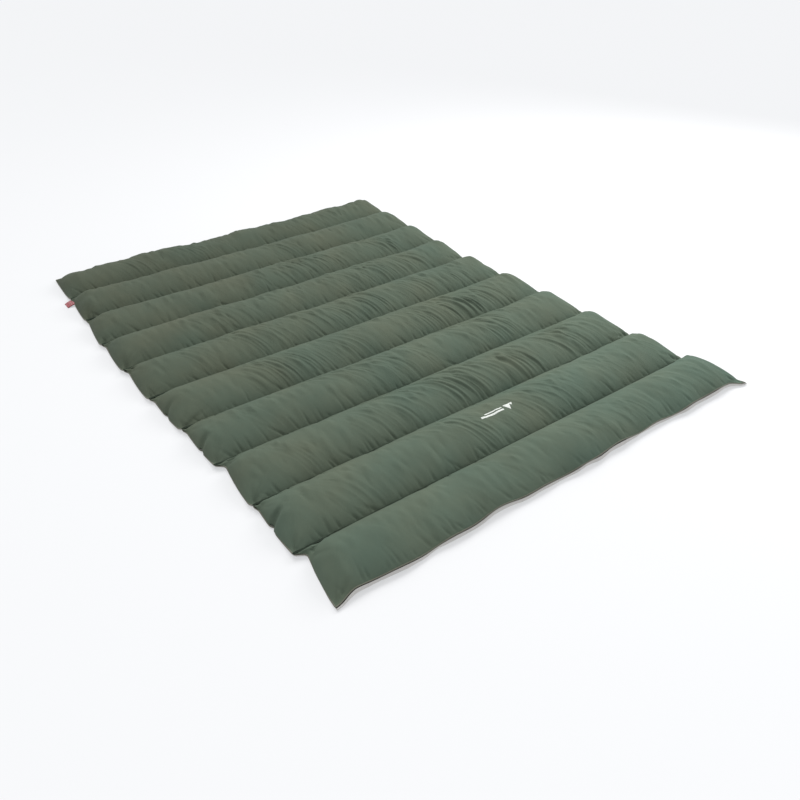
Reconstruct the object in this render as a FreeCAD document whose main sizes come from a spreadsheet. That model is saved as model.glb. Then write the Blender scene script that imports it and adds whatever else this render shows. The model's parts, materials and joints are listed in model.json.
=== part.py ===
"""Camp quilt: a shell cloth and a lining cloth sewn through along nine seams,
with a filled channel between each two seams.

The quilt lies flat. X runs along the seams, Y along the length (the back edge
is at +Y), Z is up from the floor. The origin is the middle of the footprint.
Each seam is a living hinge, so both cloths are split at the stitch lines, and
a narrow strip of pressed cloth joins the panels on its two sides.
"""

import FreeCAD, Part
import Sketcher
import math
import os

CHANNELS = 10
LABEL_CHANNEL = 2
PRINT_CHANNEL = 9

DRIVING_SIZES = (
    ("quilt_width", 1430, "side edge to side edge"),
    ("channel_pitch", 200, "stitch line to stitch line"),
    ("loft", 58, "floor to the crest of a channel"),
    ("seam_level", 12, "floor to the stitch lines and to the edge seam"),
    ("cloth", 1, "drawn thickness of shell and lining"),
    ("layer_gap", 0.3, "clear space between two layers"),
    ("seam_reach", 3, "stitch line to the end of a panel"),
    ("crease_depth", 1, "half thickness of the cloth pressed by the stitches"),
    ("crease_half_width", 0.6, "half width of the pressed flat under the thread"),
    ("edge_half_height", 2.5, "half height of the edge seam and of a seam strip's sides"),
    ("thread_radius", 0.5, "half width of a row of stitches"),
    ("sole_run", 30, "how far from a stitch line the lining leaves the floor"),
    ("sole_radius", 42, "turn-up of the lining beside a stitch line"),
    ("side_sole_run", 28, "how far from a side edge the lining leaves the floor"),
    ("side_sole_radius", 60, "turn-up of the lining at a side edge"),
    ("side_dome_run", 70, "how far from a side edge the shell starts to turn down"),
    ("side_dome_radius", 90, "turn-down of the shell at a side edge"),
    ("label_length", 40, "loop label, along the edge"),
    ("label_reach", 22, "loop label, out from the edge"),
    ("label_ply", 0.8, "loop label, thickness of the tape"),
    ("label_from_seam", 10, "stitch line to the near end of the loop label"),
    ("label_droop", 22, "loop label, degrees below level"),
    ("print_length", 120, "printed mark, along the channel"),
    ("print_height", 26, "printed mark, across the channel"),
    ("print_film", 0.3, "thickness of the print"),
    ("print_bar", 4, "printed mark, thickness of its bar"),
)

# Sizes that follow from the driving ones, as expressions of the sheet.
HALF_WIDTH = "Sizes.quilt_width / 2"
HALF_PITCH = "Sizes.channel_pitch / 2"
RISE = "(Sizes.loft - Sizes.seam_level)"
CROWN_RADIUS = f"((({HALF_PITCH})^2 + {RISE}^2) / (2 * {RISE}))"
PANEL_HALF = f"({HALF_PITCH} - Sizes.seam_reach)"
PANEL_HALF_WIDTH = f"({HALF_WIDTH} - Sizes.seam_reach)"
SPLIT = "(Sizes.layer_gap / 2)"
LINED = "(Sizes.cloth + Sizes.layer_gap)"
# The lining's turn-up is an arc through its two ends; this is its centre.
SOLE_CHORD = "(sqrt(Sizes.sole_run^2 + Sizes.seam_level^2))"
SOLE_DEPTH = f"(sqrt(Sizes.sole_radius^2 - ({SOLE_CHORD} / 2)^2))"
SOLE_Y = (
    f"({HALF_PITCH} - Sizes.sole_run / 2"
    f" - {SOLE_DEPTH} * Sizes.seam_level / {SOLE_CHORD})"
)
SOLE_Z = f"(Sizes.seam_level / 2 + {SOLE_DEPTH} * Sizes.sole_run / {SOLE_CHORD})"

doc = FreeCAD.newDocument("camp_quilt")
sub_parts = []


def fill_sheet():
    """Write the driving sizes to a spreadsheet, one alias a row."""
    sheet = doc.addObject("Spreadsheet::Sheet", "Sizes")
    for row, (alias, number, meaning) in enumerate(DRIVING_SIZES, start=1):
        sheet.set(f"A{row}", meaning)
        sheet.set(f"B{row}", str(number))
        sheet.setAlias(f"B{row}", alias)
    doc.recompute()
    return sheet


sizes = fill_sheet()


def number(expression):
    """The present value of an expression of the sheet."""
    return float(sizes.evalExpression(expression))


def crown(half, inset):
    """Height of the crown arc, moved in by inset, at half from the middle."""
    radius = f"({CROWN_RADIUS} - {inset})"
    return f"(Sizes.loft - {CROWN_RADIUS} + sqrt({radius}^2 - {half}^2))"


def sole(half, inset):
    """Height of the lining's turn-up, moved in by inset, at half from the middle."""
    radius = f"(Sizes.sole_radius - {inset})"
    return f"({SOLE_Z} - sqrt({radius}^2 - ({half} - {SOLE_Y})^2))"


def sole_start(inset):
    """Where the turn-up, moved in by inset, meets the flat sole."""
    radius = f"(Sizes.sole_radius - {inset})"
    return f"({SOLE_Y} + sqrt({radius}^2 - ({SOLE_Z} - {inset})^2))"


def new_body(label):
    body = doc.addObject("PartDesign::Body", label)
    body.Label = label
    return body


def new_sketch(body, role):
    """An empty sketch on one of the body's origin planes."""
    sketch = body.newObject("Sketcher::SketchObject", f"{body.Name}_outline")
    plane = next(part for part in body.Origin.OriginFeatures if part.Role == role)
    sketch.AttachmentSupport = [(plane, "")]
    sketch.MapMode = "FlatFace"
    return sketch


def bind(sketch, constraint, expression):
    """Add a driving constraint and tie it to the sheet."""
    index = sketch.addConstraint(constraint)
    sketch.setExpression(f"Constraints[{index}]", expression)


def add_edge(sketch, start, end, radius):
    """Add a line, or an arc with its centre to the left of the way from start to
    end, or to the right where the radius is negative. Returns the edge and which
    of its points are the start and the end."""
    edge = sketch.GeometryCount
    if radius is None:
        sketch.addGeometry(Part.LineSegment(start, end), False)
        return edge, 1, 2
    chord = end - start
    left = FreeCAD.Vector(-chord.y, chord.x, 0).normalize()
    depth = (radius**2 - (chord.Length / 2) ** 2) ** 0.5
    centre = (start + end) / 2 + left * math.copysign(depth, radius)
    circle = Part.Circle(centre, FreeCAD.Vector(0, 0, 1), abs(radius))
    first, last = (start, end) if radius > 0 else (end, start)
    turn = [math.atan2(p.y - centre.y, p.x - centre.x) for p in (first, last)]
    sketch.addGeometry(Part.ArcOfCircle(circle, *turn), False)
    return (edge, 1, 2) if radius > 0 else (edge, 2, 1)


def draw_outline(sketch, corners):
    """Add one closed outline. A corner is (across, up), or (across, up, radius)
    where an arc leads from it to the next. Every size is an expression."""
    points = [FreeCAD.Vector(number(c[0]), number(c[1]), 0) for c in corners]
    edges = []
    for i, corner in enumerate(corners):
        radius = number(corner[2]) if len(corner) == 3 else None
        end = points[(i + 1) % len(corners)]
        edges.append(add_edge(sketch, points[i], end, radius))
    for i, corner in enumerate(corners):
        edge, start, end = edges[i]
        next_edge, next_start, _ = edges[(i + 1) % len(corners)]
        join = Sketcher.Constraint("Coincident", edge, end, next_edge, next_start)
        sketch.addConstraint(join)
        across = Sketcher.Constraint("DistanceX", -1, 1, edge, start, points[i].x)
        bind(sketch, across, corner[0])
        up = Sketcher.Constraint("DistanceY", -1, 1, edge, start, points[i].y)
        bind(sketch, up, corner[1])
        if len(corner) == 3:
            size = Sketcher.Constraint("Radius", edge, abs(number(corner[2])))
            bind(sketch, size, f"abs({corner[2]})")


def pad(body, sketch, length):
    feature = body.newObject("PartDesign::Pad", f"{body.Name}_pad")
    feature.Profile = sketch
    feature.SideType = "Symmetric"
    feature.setExpression("Length", length)
    body.Tip = feature


def pocket(body, sketch):
    feature = body.newObject("PartDesign::Pocket", f"{body.Name}_pocket")
    feature.Profile = sketch
    feature.SideType = "Symmetric"
    feature.setExpression("Length", "2 * Sizes.channel_pitch")
    body.Tip = feature


def mirrored(corners):
    """The same outline on the other side of the middle."""
    flipped = []
    for corner in corners:
        radius = tuple(f"-({size})" for size in corner[2:])
        flipped.append((f"-({corner[0]})", corner[1]) + radius)
    return flipped


def channel_y(channel):
    """Middle of a channel, counted from the back edge."""
    return f"({CHANNELS + 1} / 2 - {channel}) * Sizes.channel_pitch"


def seam_y(seam):
    """A stitch line, counted from the back edge."""
    return f"({CHANNELS} / 2 - {seam}) * Sizes.channel_pitch"


def placed(label, form, along):
    """A sub-part of that form, moved along the quilt to its place."""
    part = doc.addObject("Part::Compound", label)
    part.Label = label
    part.Links = [form]
    part.setExpression("Placement.Base.y", along)
    sub_parts.append(part)


def side_outline(inset, level, outward):
    """What rounds off a side end of a channel, between the edge seam and the
    crest or the sole."""
    run, radius, way = {
        "crest": ("Sizes.side_dome_run", "Sizes.side_dome_radius", 1),
        "sole": ("Sizes.side_sole_run", "Sizes.side_sole_radius", -1),
    }[level]
    flat = f"Sizes.loft - {inset}" if level == "crest" else inset
    start = f"({HALF_WIDTH} - {run} - {inset})"
    edge = f"({HALF_WIDTH} - {inset})"
    outside = f"({HALF_WIDTH} + {outward})"
    beyond = f"({flat} + {way} * {outward})"
    return [
        (edge, "Sizes.seam_level", f"{way} * ({radius})"),
        (start, flat),
        (start, beyond),
        (outside, beyond),
        (outside, "Sizes.seam_level"),
    ]


def channel_form(name, inset):
    """One channel as a closed pillow, moved in by inset from the outer faces."""
    body = new_body(name)
    half = f"({PANEL_HALF} - {inset})"
    flat = sole_start(inset)
    radius = f"(Sizes.sole_radius - {inset})"
    section = new_sketch(body, "YZ_Plane")
    draw_outline(
        section,
        [
            (f"-{flat}", inset),
            (flat, inset, radius),
            (half, sole(half, inset)),
            (half, crown(half, inset), f"({CROWN_RADIUS} - {inset})"),
            (f"-{half}", crown(half, inset)),
            (f"-{half}", sole(half, inset), radius),
        ],
    )
    pad(body, section, f"2 * ({PANEL_HALF_WIDTH} - {inset})")
    ends = new_sketch(body, "XZ_Plane")
    for level in ("crest", "sole"):
        outline = side_outline(inset, level, "Sizes.seam_reach")
        draw_outline(ends, outline)
        draw_outline(ends, mirrored(outline))
    pocket(body, ends)
    return body


def half_space(name, low, high):
    """A block over one channel, between two heights."""
    block = doc.addObject("Part::Box", name)
    block.setExpression("Length", "Sizes.quilt_width")
    block.setExpression("Width", "Sizes.channel_pitch")
    block.setExpression("Height", f"{high} - ({low})")
    block.setExpression("Placement.Base.x", f"-{HALF_WIDTH}")
    block.setExpression("Placement.Base.y", f"-{HALF_PITCH}")
    block.setExpression("Placement.Base.z", low)
    return block


def combine(kind, name, base, tool):
    """A boolean of two objects: Part::Cut or Part::Common."""
    result = doc.addObject(kind, name)
    result.Base = base
    result.Tool = tool
    return result


def make_channels():
    """The shell, lining and filling of each channel. Both cloths come from one
    pillow with a smaller pillow taken out, parted at the edge seam."""
    outer = channel_form("channel_outside", "0")
    cavity = channel_form("channel_cavity", "Sizes.cloth")
    wadding = channel_form("wadding_form", LINED)
    cloths = combine("Part::Cut", "channel_cloths", outer, cavity)
    part_line = "Sizes.seam_level"
    above = half_space("above_seam", f"{part_line} + {SPLIT}", "Sizes.loft + 1")
    below = half_space("below_seam", "-1", f"{part_line} - {SPLIT}")
    shell = combine("Part::Common", "shell_form", cloths, above)
    lining = combine("Part::Common", "lining_form", cloths, below)
    for channel in range(1, CHANNELS + 1):
        along = channel_y(channel)
        placed(f"shell_panel_{channel:02d}", shell, along)
        placed(f"lining_panel_{channel:02d}", lining, along)
        placed(f"filling_{channel:02d}", wadding, along)


def make_seams():
    """Each seam is the strip of both cloths that the stitches press together,
    which bends as a hinge, and one row of lockstitch: needle thread on top,
    bobbin thread underneath."""
    reach, pressed = "Sizes.seam_reach", "Sizes.crease_half_width"
    high = "Sizes.seam_level + Sizes.edge_half_height"
    low = "Sizes.seam_level - Sizes.edge_half_height"
    top = "Sizes.seam_level + Sizes.crease_depth"
    under = "Sizes.seam_level - Sizes.crease_depth"
    strip = new_body("seam_strip_form")
    section = new_sketch(strip, "YZ_Plane")
    draw_outline(
        section,
        [
            (f"-{reach}", low),
            (f"-{pressed}", under),
            (pressed, under),
            (reach, low),
            (reach, high),
            (pressed, top),
            (f"-{pressed}", top),
            (f"-{reach}", high),
        ],
    )
    pad(strip, section, "Sizes.quilt_width")
    stitches = new_body("stitch_row_form")
    section = new_sketch(stitches, "YZ_Plane")
    radius, bulge = "Sizes.thread_radius", "1.01 * Sizes.thread_radius"
    draw_outline(section, [(radius, top, bulge), (f"-{radius}", top)])
    draw_outline(section, [(f"-{radius}", under, bulge), (radius, under)])
    pad(stitches, section, f"2 * {PANEL_HALF_WIDTH}")
    for seam in range(1, CHANNELS):
        placed(f"seam_cloth_{seam}", strip, seam_y(seam))
        placed(f"seam_thread_{seam}", stitches, seam_y(seam))


def edge_form(name, outlines):
    """A flat sewn edge, drawn in plan."""
    body = new_body(name)
    plan = new_sketch(body, "XY_Plane")
    for outline in outlines:
        draw_outline(plan, outline)
    pad(body, plan, "2 * Sizes.edge_half_height")
    body.setExpression("Placement.Base.z", "Sizes.seam_level")
    return body


def make_edge_seams():
    """The sewn edge that joins the lining to the shell: both sides of every
    channel, and the end of the first and last."""
    outer, inner, end = HALF_WIDTH, PANEL_HALF_WIDTH, PANEL_HALF
    strip = [(inner, f"-{end}"), (outer, f"-{end}"), (outer, end), (inner, end)]
    sides = edge_form("side_edges_form", [strip, mirrored(strip)])
    ends = {}
    for channel, way in ((1, 1), (CHANNELS, -1)):
        near, far = f"-{way} * {end}", f"{way} * {HALF_PITCH}"
        inside = f"{way} * {end}"
        round_three_sides = [
            (outer, near),
            (outer, far),
            (f"-{outer}", far),
            (f"-{outer}", near),
            (f"-{inner}", near),
            (f"-{inner}", inside),
            (inner, inside),
            (inner, near),
        ]
        ends[channel] = edge_form(f"end_edge_form_{channel}", [round_three_sides])
    for channel in range(1, CHANNELS + 1):
        form = ends.get(channel, sides)
        placed(f"edge_seam_{channel:02d}", form, channel_y(channel))


def make_loop_label():
    """A woven tape folded in half and caught in the left edge seam."""
    body = new_body("label_form")
    section = new_sketch(body, "XZ_Plane")
    radius = "(1.5 * Sizes.label_ply)"
    inner = "(0.5 * Sizes.label_ply)"
    straight = f"(Sizes.label_reach - {radius})"
    draw_outline(
        section,
        [
            ("0", f"-{radius}"),
            ("0", f"-{inner}"),
            (f"-{straight}", f"-{inner}", f"-1.01 * {inner}"),
            (f"-{straight}", inner),
            ("0", inner),
            ("0", radius),
            (f"-{straight}", radius, f"1.01 * {radius}"),
            (f"-{straight}", f"-{radius}"),
        ],
    )
    pad(body, section, "Sizes.label_length")
    across = FreeCAD.Vector(0, 1, 0)
    turn = FreeCAD.Rotation(across, -number("Sizes.label_droop"))
    body.Placement = FreeCAD.Placement(FreeCAD.Vector(), turn)
    clear = "1.5 * Sizes.label_ply * sin(Sizes.label_droop)"
    body.setExpression("Placement.Base.x", f"-{HALF_WIDTH} - {clear}")
    body.setExpression("Placement.Base.z", "Sizes.seam_level")
    near_seam = seam_y(LABEL_CHANNEL - 1)
    middle = f"{near_seam} - Sizes.label_from_seam - Sizes.label_length / 2"
    placed("loop_label", body, middle)


def make_printed_mark():
    """A plain print on the crest of a channel: a disc with a bar beside it, as
    a film on the curved shell."""
    middle = channel_y(PRINT_CHANNEL)
    along_x = FreeCAD.Rotation(FreeCAD.Vector(0, 1, 0), 90)
    faces = []
    for name, lift in (("print_top", "Sizes.print_film"), ("print_foot", "0")):
        face = doc.addObject("Part::Cylinder", name)
        face.Placement = FreeCAD.Placement(FreeCAD.Vector(), along_x)
        face.setExpression("Radius", f"{CROWN_RADIUS} + {lift}")
        face.setExpression("Height", "2 * Sizes.print_length")
        face.setExpression("Placement.Base.x", "-Sizes.print_length")
        face.setExpression("Placement.Base.z", f"Sizes.loft - {CROWN_RADIUS}")
        faces.append(face)
    film = combine("Part::Cut", "print_film_form", *faces)
    disc = doc.addObject("Part::Cylinder", "print_disc_outline")
    disc.setExpression("Radius", "Sizes.print_height / 2")
    disc.setExpression("Height", "2 * Sizes.loft")
    disc_x = "Sizes.print_length / 2 - Sizes.print_height / 2"
    disc.setExpression("Placement.Base.x", disc_x)
    bar = doc.addObject("Part::Box", "print_bar_outline")
    bar.setExpression("Length", "Sizes.print_length - 1.25 * Sizes.print_height")
    bar.setExpression("Width", "Sizes.print_bar")
    bar.setExpression("Height", "2 * Sizes.loft")
    bar.setExpression("Placement.Base.x", "-Sizes.print_length / 2")
    bar.setExpression("Placement.Base.y", "-Sizes.print_bar / 2")
    outline = doc.addObject("Part::Compound", "print_outline")
    outline.Links = [disc, bar]
    mark = combine("Part::Common", "print_form", film, outline)
    placed("printed_mark", mark, middle)


def check_model(nodes):
    """Stop if any object failed or any sub-part has no sound shape."""
    doc.recompute()
    failed = [o.Name for o in doc.Objects if "Invalid" in o.State or "Error" in o.State]
    unsound = [
        o.Label for o in nodes if o.Shape.isNull() or not o.Shape.isValid()
    ]
    if failed or unsound:
        raise RuntimeError(f"failed objects {failed}, unsound shapes {unsound}")


make_channels()
make_seams()
make_edge_seams()
make_loop_label()
make_printed_mark()
check_model(sub_parts)
os.makedirs("parts", exist_ok=True)
for sub_part in sub_parts:
    sub_part.Shape.exportStep(f"parts/{sub_part.Label}.step")
    volume = sub_part.Shape.Volume / 1000
    print(f"{sub_part.Label}: {len(sub_part.Shape.Solids)} solid, {volume:.1f} cm3")
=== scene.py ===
"""Camp quilt, laid flat: a green shell and a grey lining sewn through along nine
seams, with wadding in the ten channels between them."""

import json
import math

import bpy
import numpy as np
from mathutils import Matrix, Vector
from mathutils.bvhtree import BVHTree

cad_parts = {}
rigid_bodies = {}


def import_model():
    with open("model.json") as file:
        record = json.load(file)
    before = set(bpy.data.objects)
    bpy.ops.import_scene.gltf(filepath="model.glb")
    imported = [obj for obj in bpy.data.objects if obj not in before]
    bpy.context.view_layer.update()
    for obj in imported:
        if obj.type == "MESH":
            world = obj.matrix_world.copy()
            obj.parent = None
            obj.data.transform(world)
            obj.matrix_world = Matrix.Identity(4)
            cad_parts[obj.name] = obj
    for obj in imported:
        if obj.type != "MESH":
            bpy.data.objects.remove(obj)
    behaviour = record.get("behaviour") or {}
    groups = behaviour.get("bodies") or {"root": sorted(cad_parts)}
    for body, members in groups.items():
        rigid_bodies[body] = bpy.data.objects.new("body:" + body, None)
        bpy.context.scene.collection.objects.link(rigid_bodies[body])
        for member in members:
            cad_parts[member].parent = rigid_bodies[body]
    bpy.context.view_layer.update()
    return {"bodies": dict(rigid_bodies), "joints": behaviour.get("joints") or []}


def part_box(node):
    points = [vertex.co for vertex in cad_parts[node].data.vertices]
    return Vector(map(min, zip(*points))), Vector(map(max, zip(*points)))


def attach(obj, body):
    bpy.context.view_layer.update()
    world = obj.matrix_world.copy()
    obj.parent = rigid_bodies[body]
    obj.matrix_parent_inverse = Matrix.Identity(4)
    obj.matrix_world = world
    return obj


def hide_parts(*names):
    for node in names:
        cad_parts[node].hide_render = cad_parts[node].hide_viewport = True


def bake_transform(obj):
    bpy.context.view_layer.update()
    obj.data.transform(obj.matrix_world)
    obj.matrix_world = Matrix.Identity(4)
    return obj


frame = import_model()


# ---- Studio -----------------------------------------------------------------
# A pale floor that runs out of sight and glows, a pale surround, a broad soft
# light from above and behind, and a weaker one from the right.
CAMERA_AZIMUTH = math.radians(-36.97)
CAMERA_ELEVATION = math.radians(33.96)
CAMERA_PLACE = (-1.266, -1.936, 1.267)
CAMERA_LENS = 34.5

camera_data = bpy.data.cameras.new("camera")
camera = bpy.data.objects.new("camera", camera_data)
bpy.context.scene.collection.objects.link(camera)
camera_back = Vector(
    (
        math.sin(CAMERA_AZIMUTH) * math.cos(CAMERA_ELEVATION),
        -math.cos(CAMERA_AZIMUTH) * math.cos(CAMERA_ELEVATION),
        math.sin(CAMERA_ELEVATION),
    )
)
camera.location = CAMERA_PLACE
camera.rotation_euler = (-camera_back).to_track_quat("-Z", "Y").to_euler()
camera_data.lens = CAMERA_LENS
bpy.context.scene.camera = camera


# The light that the surround gives, and how light it looks itself.
SURROUND_GIVES = (0.708, 0.717, 0.734, 1)
SURROUND_LOOKS = (0.900, 0.910, 0.930, 1)
SUN_SPREAD = math.radians(50)
SUN_SHARE = 0.47
SUN_WAY = Vector((0.18, 0.62, 0.76)).normalized()

sun_data = bpy.data.lights.new("overhead_softbox", "SUN")
sun_data.angle = SUN_SPREAD
sun_data.energy = SUN_SHARE * math.pi / SUN_WAY.z
sun = bpy.data.objects.new("overhead_softbox", sun_data)
sun.rotation_euler = (-SUN_WAY).to_track_quat("-Z", "Y").to_euler()
bpy.context.scene.collection.objects.link(sun)

SIDE_ACROSS = 1.6
SIDE_POWER = 55
SIDE_PLACE = (2.5, 0.1, 1.7)
SIDE_WAY = Vector((1.9, 0.6, 1.7))

side_data = bpy.data.lights.new("side_softbox", "AREA")
side_data.shape = "DISK"
side_data.size = SIDE_ACROSS
side_data.energy = SIDE_POWER
side = bpy.data.objects.new("side_softbox", side_data)
side.location = SIDE_PLACE
side.rotation_euler = (-SIDE_WAY).to_track_quat("-Z", "Y").to_euler()
bpy.context.scene.collection.objects.link(side)

surround = bpy.data.worlds.new("surround")
surround.use_nodes = True
surround_nodes, surround_links = surround.node_tree.nodes, surround.node_tree.links
surround_light = surround_nodes["Background"]
surround_light.inputs["Color"].default_value = SURROUND_GIVES
surround_seen = surround_nodes.new("ShaderNodeBackground")
surround_seen.inputs["Color"].default_value = SURROUND_LOOKS
surround_rays = surround_nodes.new("ShaderNodeLightPath")
surround_mix = surround_nodes.new("ShaderNodeMixShader")
surround_links.new(surround_rays.outputs["Is Camera Ray"], surround_mix.inputs[0])
surround_links.new(surround_light.outputs[0], surround_mix.inputs[1])
surround_links.new(surround_seen.outputs[0], surround_mix.inputs[2])
surround_links.new(surround_mix.outputs[0], surround_nodes["World Output"].inputs["Surface"])
bpy.context.scene.world = surround
bpy.context.scene.view_settings.view_transform = "Standard"


def new_mesh(name, points, faces):
    """A smooth mesh object in the scene, its points in the quilt's own frame."""
    mesh = bpy.data.meshes.new(name)
    mesh.from_pydata(np.asarray(points).tolist(), [], [list(face) for face in faces])
    mesh.update()
    mesh.shade_smooth()
    piece = bpy.data.objects.new(name, mesh)
    bpy.context.scene.collection.objects.link(piece)
    return piece


def new_material(name):
    """A node material; returns it, its node tree and its Principled shader."""
    material = bpy.data.materials.new(name)
    material.use_nodes = True
    tree = material.node_tree
    return material, tree, tree.nodes["Principled BSDF"]


FLOOR_HALF = 30.0
FLOOR_GREY = (0.38, 0.38, 0.38, 1)
FLOOR_GLOW = (0.965, 0.978, 1, 1)
FLOOR_GLOW_STRENGTH = 0.470

floor = new_mesh(
    "floor",
    [(x, y, 0) for x, y in ((-1, -1), (1, -1), (1, 1), (-1, 1))],
    [(0, 1, 2, 3)],
)
floor.scale = (FLOOR_HALF, FLOOR_HALF, 1)
floor_paint, _, floor_shader = new_material("floor_paint")
floor_shader.inputs["Base Color"].default_value = FLOOR_GREY
floor_shader.inputs["Roughness"].default_value = 1
floor_shader.inputs["Specular IOR Level"].default_value = 0
floor_shader.inputs["Emission Color"].default_value = FLOOR_GLOW
floor_shader.inputs["Emission Strength"].default_value = FLOOR_GLOW_STRENGTH
floor.data.materials.append(floor_paint)


# ---- Shell ------------------------------------------------------------------
# The upper cloth, a peached sage green polyester cut in one sheet. It is longer
# than the space between two seams, so the wadding crowns it, and a little wide
# for the seams, so it lies in fine slanting wrinkles.
CHANNELS = len(frame["bodies"])
SEAM_Y = [joint["pos_m"][1] for joint in frame["joints"]]
SEAM_Z = frame["joints"][0]["pos_m"][2]
PITCH = SEAM_Y[0] - SEAM_Y[1]
HALF_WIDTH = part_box("edge_seam_05")[1].x
HALF_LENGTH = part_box("edge_seam_01")[1].y
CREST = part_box("shell_panel_05")[1].z

# How the quilt happens to lie: its middle drifts to one side, and its side edges
# lie a little in (positive) or out (negative) at each seam, back to front.
DRIFT = 0.032
LEFT_LIE = (0, 0.000, -0.001, -0.011, -0.008, -0.004, 0.008, 0.012, 0.006, -0.002, -0.018)
RIGHT_LIE = (-0.010, -0.002, -0.002, 0.004, 0.020, 0.004, -0.002, -0.004, -0.004, -0.004, -0.030)
# Notches in the side edges, at the seam ends and where the edge has tucked itself
# in: channels from the back, how deep, and how wide.
LEFT_NOTCHES = (
    (1, 0.003, 0.008), (2, 0.004, 0.008), (3, 0.005, 0.008), (4, 0.005, 0.008),
    (5, 0.005, 0.008), (6, 0.006, 0.008), (8, 0.006, 0.008), (6.60, 0.006, 0.008),
    (8.48, 0.009, 0.010), (5.55, 0.005, 0.010),
)
RIGHT_NOTCHES = (
    (1, 0.008, 0.012), (2, 0.008, 0.012), (3, 0.010, 0.012), (4, 0.008, 0.012),
    (5, 0.010, 0.012), (6, 0.008, 0.012), (7, 0.010, 0.012), (8, 0.010, 0.012),
    (9, 0.008, 0.012), (4.7, 0.004, 0.010), (8.35, 0.004, 0.010),
)
# On the left the edge steps in after each seam, by this much, and runs out again.
STEP_WIDE = 0.013
LEFT_STEPS = (0, 0.007, 0.009, 0.014, 0.016, 0.014, 0.012, 0.026, 0.012, 0.032, 0)
RIGHT_BOW = 0.003
# The corners stand out as ears: how far, and over what share of the half width.
EAR = 0.014
EAR_SHARE = 0.085

# How the cloth is cut: spare width, as a share, and the length for each channel.
EXTRA_WIDTH = 0.024
CUT_PER_CHANNEL = 0.234

# The grid that settles: steps across the quilt, and steps down each channel.
COLUMNS = 180
ROWS = 24

# The noise repeats after this many steps down and along.
NOISE_DOWN = 64
NOISE_ALONG = 160


def noise(down, along, seed):
    """Even noise: random heights at whole numbers, eased between them."""
    heights = np.random.default_rng(seed).normal(size=(NOISE_DOWN, NOISE_ALONG))
    down, along = np.broadcast_arrays(down, along)
    i, j = np.floor(down).astype(int), np.floor(along).astype(int)
    a, b = down - i, along - j
    a, b = a * a * (3 - 2 * a), b * b * (3 - 2 * b)
    left, right = j % NOISE_ALONG, (j + 1) % NOISE_ALONG
    upper, lower = i % NOISE_DOWN, (i + 1) % NOISE_DOWN
    near = heights[upper, left] * (1 - b) + heights[upper, right] * b
    far = heights[lower, left] * (1 - b) + heights[lower, right] * b
    return near * (1 - a) + far * a


def side_x(side, v):
    """Where the sewn side edge lies at v channels from the back. side is -1 or 1."""
    lie = np.interp(v, range(CHANNELS + 1), LEFT_LIE if side < 0 else RIGHT_LIE)
    share = v % 1
    if side < 0:
        step = np.take(LEFT_STEPS, np.floor(v).astype(int))
        past_seam = 1 - np.exp(-((share * PITCH / STEP_WIDE) ** 2))
        inset = lie + step * past_seam * (1 - share) ** 1.2
    else:
        inset = lie + RIGHT_BOW * (1 - np.sin(math.pi * share))
    for place, depth, width in LEFT_NOTCHES if side < 0 else RIGHT_NOTCHES:
        inset = inset + depth * np.exp(-(((v - place) * PITCH / width) ** 2))
    drift = DRIFT * (0.5 - (1 - (2 * v / CHANNELS - 1) ** 2))
    return side * (HALF_WIDTH - inset) + drift


def end_ease(u):
    """0 along the middle of an end edge, rising to 1 at the ears."""
    t = np.clip((np.abs(u) - (1 - EAR_SHARE)) / EAR_SHARE, 0, 1)
    return t * t * (3 - 2 * t)


# The back edge: where a fold pinches it, how deep, and how far its left end and
# the front edge lie from square.
BACK_PINCH = -0.28
BACK_PINCH_DEEP = 0.010
BACK_LEFT_LONG = 0.012
FRONT_SHORT = 0.010
FRONT_LEFT_EAR_SHORT = 0.007
# Heights over the floor, and how far the front edge is above the seams.
LOWEST_EDGE = 0.003
EAR_HEIGHT = 0.006
FRONT_PROP = 0.0050
SIDE_SAG = 0.008


def edge_y(u, end):
    """Where the sewn edge lies at the back (end 1) or the front (end -1)."""
    wander = 0.003 * np.sin(9 * u + 1.3) + 0.002 * np.sin(23 * u)
    pinch = BACK_PINCH_DEEP * np.exp(-(((u - BACK_PINCH) / 0.02) ** 2)) * (end > 0)
    right_ear = end_ease(u) * (u > 0)
    if end > 0:
        short = -BACK_LEFT_LONG * np.clip(0.4 - u, 0, 1)
    else:
        left_ear = end_ease(u) * (u < 0)
        short = FRONT_SHORT * (1 - right_ear) + FRONT_LEFT_EAR_SHORT * left_ear
    return end * (HALF_LENGTH - EAR * (1 - end_ease(u)) + wander - pinch - short)


def edge_z(u, end):
    """How high the end edges run; the front one is propped up by the wadding, and
    both dip to the floor at the ears."""
    wander = 0.0030 * np.sin(11 * u + 0.5 * end) + 0.0022 * np.sin(31 * u)
    level = SEAM_Z + (FRONT_PROP if end < 0 else 0)
    return (level + wander) * (1 - end_ease(u)) + EAR_HEIGHT * end_ease(u)


def plan(u, v):
    """The point of the quilt's plan at u (-1 left, 1 right) and v channels from
    the back, on the seams' level."""
    left, right = side_x(-1, v), side_x(1, v)
    x = left + (right - left) * (u + 1) / 2
    y = HALF_LENGTH - PITCH * v
    first = np.clip(1 - v, 0, 1)
    last = np.clip(v - (CHANNELS - 1), 0, 1)
    y = y + first * (edge_y(u, 1) - HALF_LENGTH) + last * (edge_y(u, -1) + HALF_LENGTH)
    z = SEAM_Z - SIDE_SAG * np.sin(math.pi * (v % 1)) * np.abs(u) ** 50
    z = z + first * (edge_z(u, 1) - SEAM_Z) + last * (edge_z(u, -1) - SEAM_Z)
    return np.stack(np.broadcast_arrays(x, y, np.maximum(z, LOWEST_EDGE)), -1)


def grid_faces(rows, columns):
    """Quads of a grid whose points are stored row by row."""
    index = np.arange(rows * columns).reshape(rows, columns)
    corners = (index[:-1, :-1], index[1:, :-1], index[1:, 1:], index[:-1, 1:])
    return np.stack(corners, -1).reshape(-1, 4)


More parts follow.
